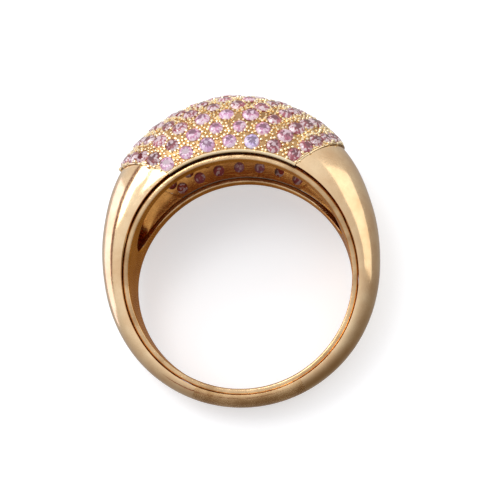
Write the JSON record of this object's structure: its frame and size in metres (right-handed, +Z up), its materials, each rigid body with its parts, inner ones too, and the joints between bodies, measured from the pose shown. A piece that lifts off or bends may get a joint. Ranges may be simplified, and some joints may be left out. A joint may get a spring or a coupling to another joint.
{
  "type": "cocktail ring",
  "caption": "Domed bombe ring in rose-yellow gold: tapering D-section shank, open under-gallery, and a high dome pave-set with small round pink and violet stones.",
  "frame": {"origin": "centre of the finger hole, on the finger axis, midway between the front and rear rims", "axes": "+Z up through the crown of the dome, Y along the finger with the front face towards -Y, +X across the hand to the right as seen from the front"},
  "size_m": [0.0216, 0.0093, 0.0246],
  "materials": {
    "polished_gold": "polished",
    "worn_gold": "brushed and worn",
    "sleeve_gold": "satin, worn",
    "bright_gold": "bright cut",
    "sapphire": "faceted, polished"
  },
  "bodies": {
    "root": {"crown_stone": "sapphire", "finger_sleeve": "sleeve_gold", "left_shoulder": "polished_gold", "pave_dome": "bright_gold", "right_shoulder": "polished_gold", "sizing_insert": "worn_gold", "stone_a01": "sapphire", "stone_a02": "sapphire", "stone_a03": "sapphire", "stone_a04": "sapphire", "stone_a05": "sapphire", "stone_a06": "sapphire", "stone_a07": "sapphire", "stone_b01": "sapphire", "stone_b02": "sapphire", "stone_b03": "sapphire", "stone_b04": "sapphire", "stone_b05": "sapphire", "stone_b06": "sapphire", "stone_b07": "sapphire", "stone_b08": "sapphire", "stone_c01": "sapphire", "stone_c02": "sapphire", "stone_c03": "sapphire", "stone_c04": "sapphire", "stone_c05": "sapphire", "stone_c06": "sapphire", "stone_c07": "sapphire", "stone_c08": "sapphire", "stone_c09": "sapphire", "stone_d01": "sapphire", "stone_d02": "sapphire", "stone_d03": "sapphire", "stone_d04": "sapphire", "stone_d05": "sapphire", "stone_d06": "sapphire", "stone_d07": "sapphire", "stone_d08": "sapphire", "stone_d09": "sapphire", "stone_d10": "sapphire", "stone_e01": "sapphire", "stone_e02": "sapphire", "stone_e03": "sapphire", "stone_e04": "sapphire", "stone_e05": "sapphire", "stone_e06": "sapphire", "stone_e07": "sapphire", "stone_e08": "sapphire", "stone_e09": "sapphire", "stone_e10": "sapphire", "stone_e11": "sapphire"}
  },
  "joints": []
}
